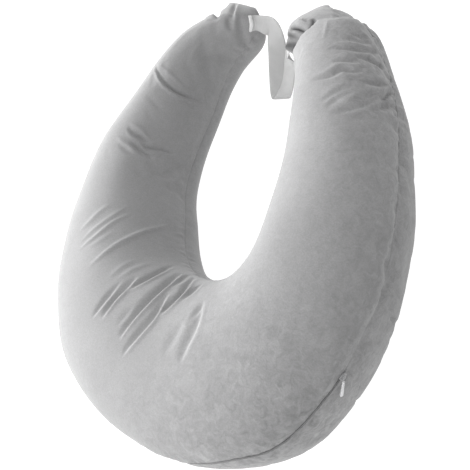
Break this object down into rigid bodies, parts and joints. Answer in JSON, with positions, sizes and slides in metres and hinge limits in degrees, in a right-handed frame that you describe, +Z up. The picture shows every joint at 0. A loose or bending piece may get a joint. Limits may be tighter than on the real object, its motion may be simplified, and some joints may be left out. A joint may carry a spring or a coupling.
{
  "type": "u-shaped pillow",
  "caption": "Stuffed U-shaped nursing pillow in soft plush, with a webbing strap between its tips and a closed zip in its outer seam.",
  "frame": {"origin": "on the surface that the pillow lies on, under the middle of its outline", "axes": "+Z up out of the crowned front, +Y towards the two tips, +X towards the arm whose outer seam has the zip"},
  "size_m": [0.4816, 0.5981, 0.1666],
  "materials": {
    "pillow_plush": "short-pile plush, soft sheen",
    "strap_webbing": "flat woven webbing",
    "zip_tape": "closed coil zip",
    "slider_metal": "satin enamel",
    "puller_metal": "satin enamel"
  },
  "bodies": {
    "root": {"pillow_body": "pillow_plush", "strap": "strap_webbing", "zip_chain": "zip_tape", "zip_slider": "slider_metal", "zip_puller": "puller_metal"}
  },
  "joints": []
}
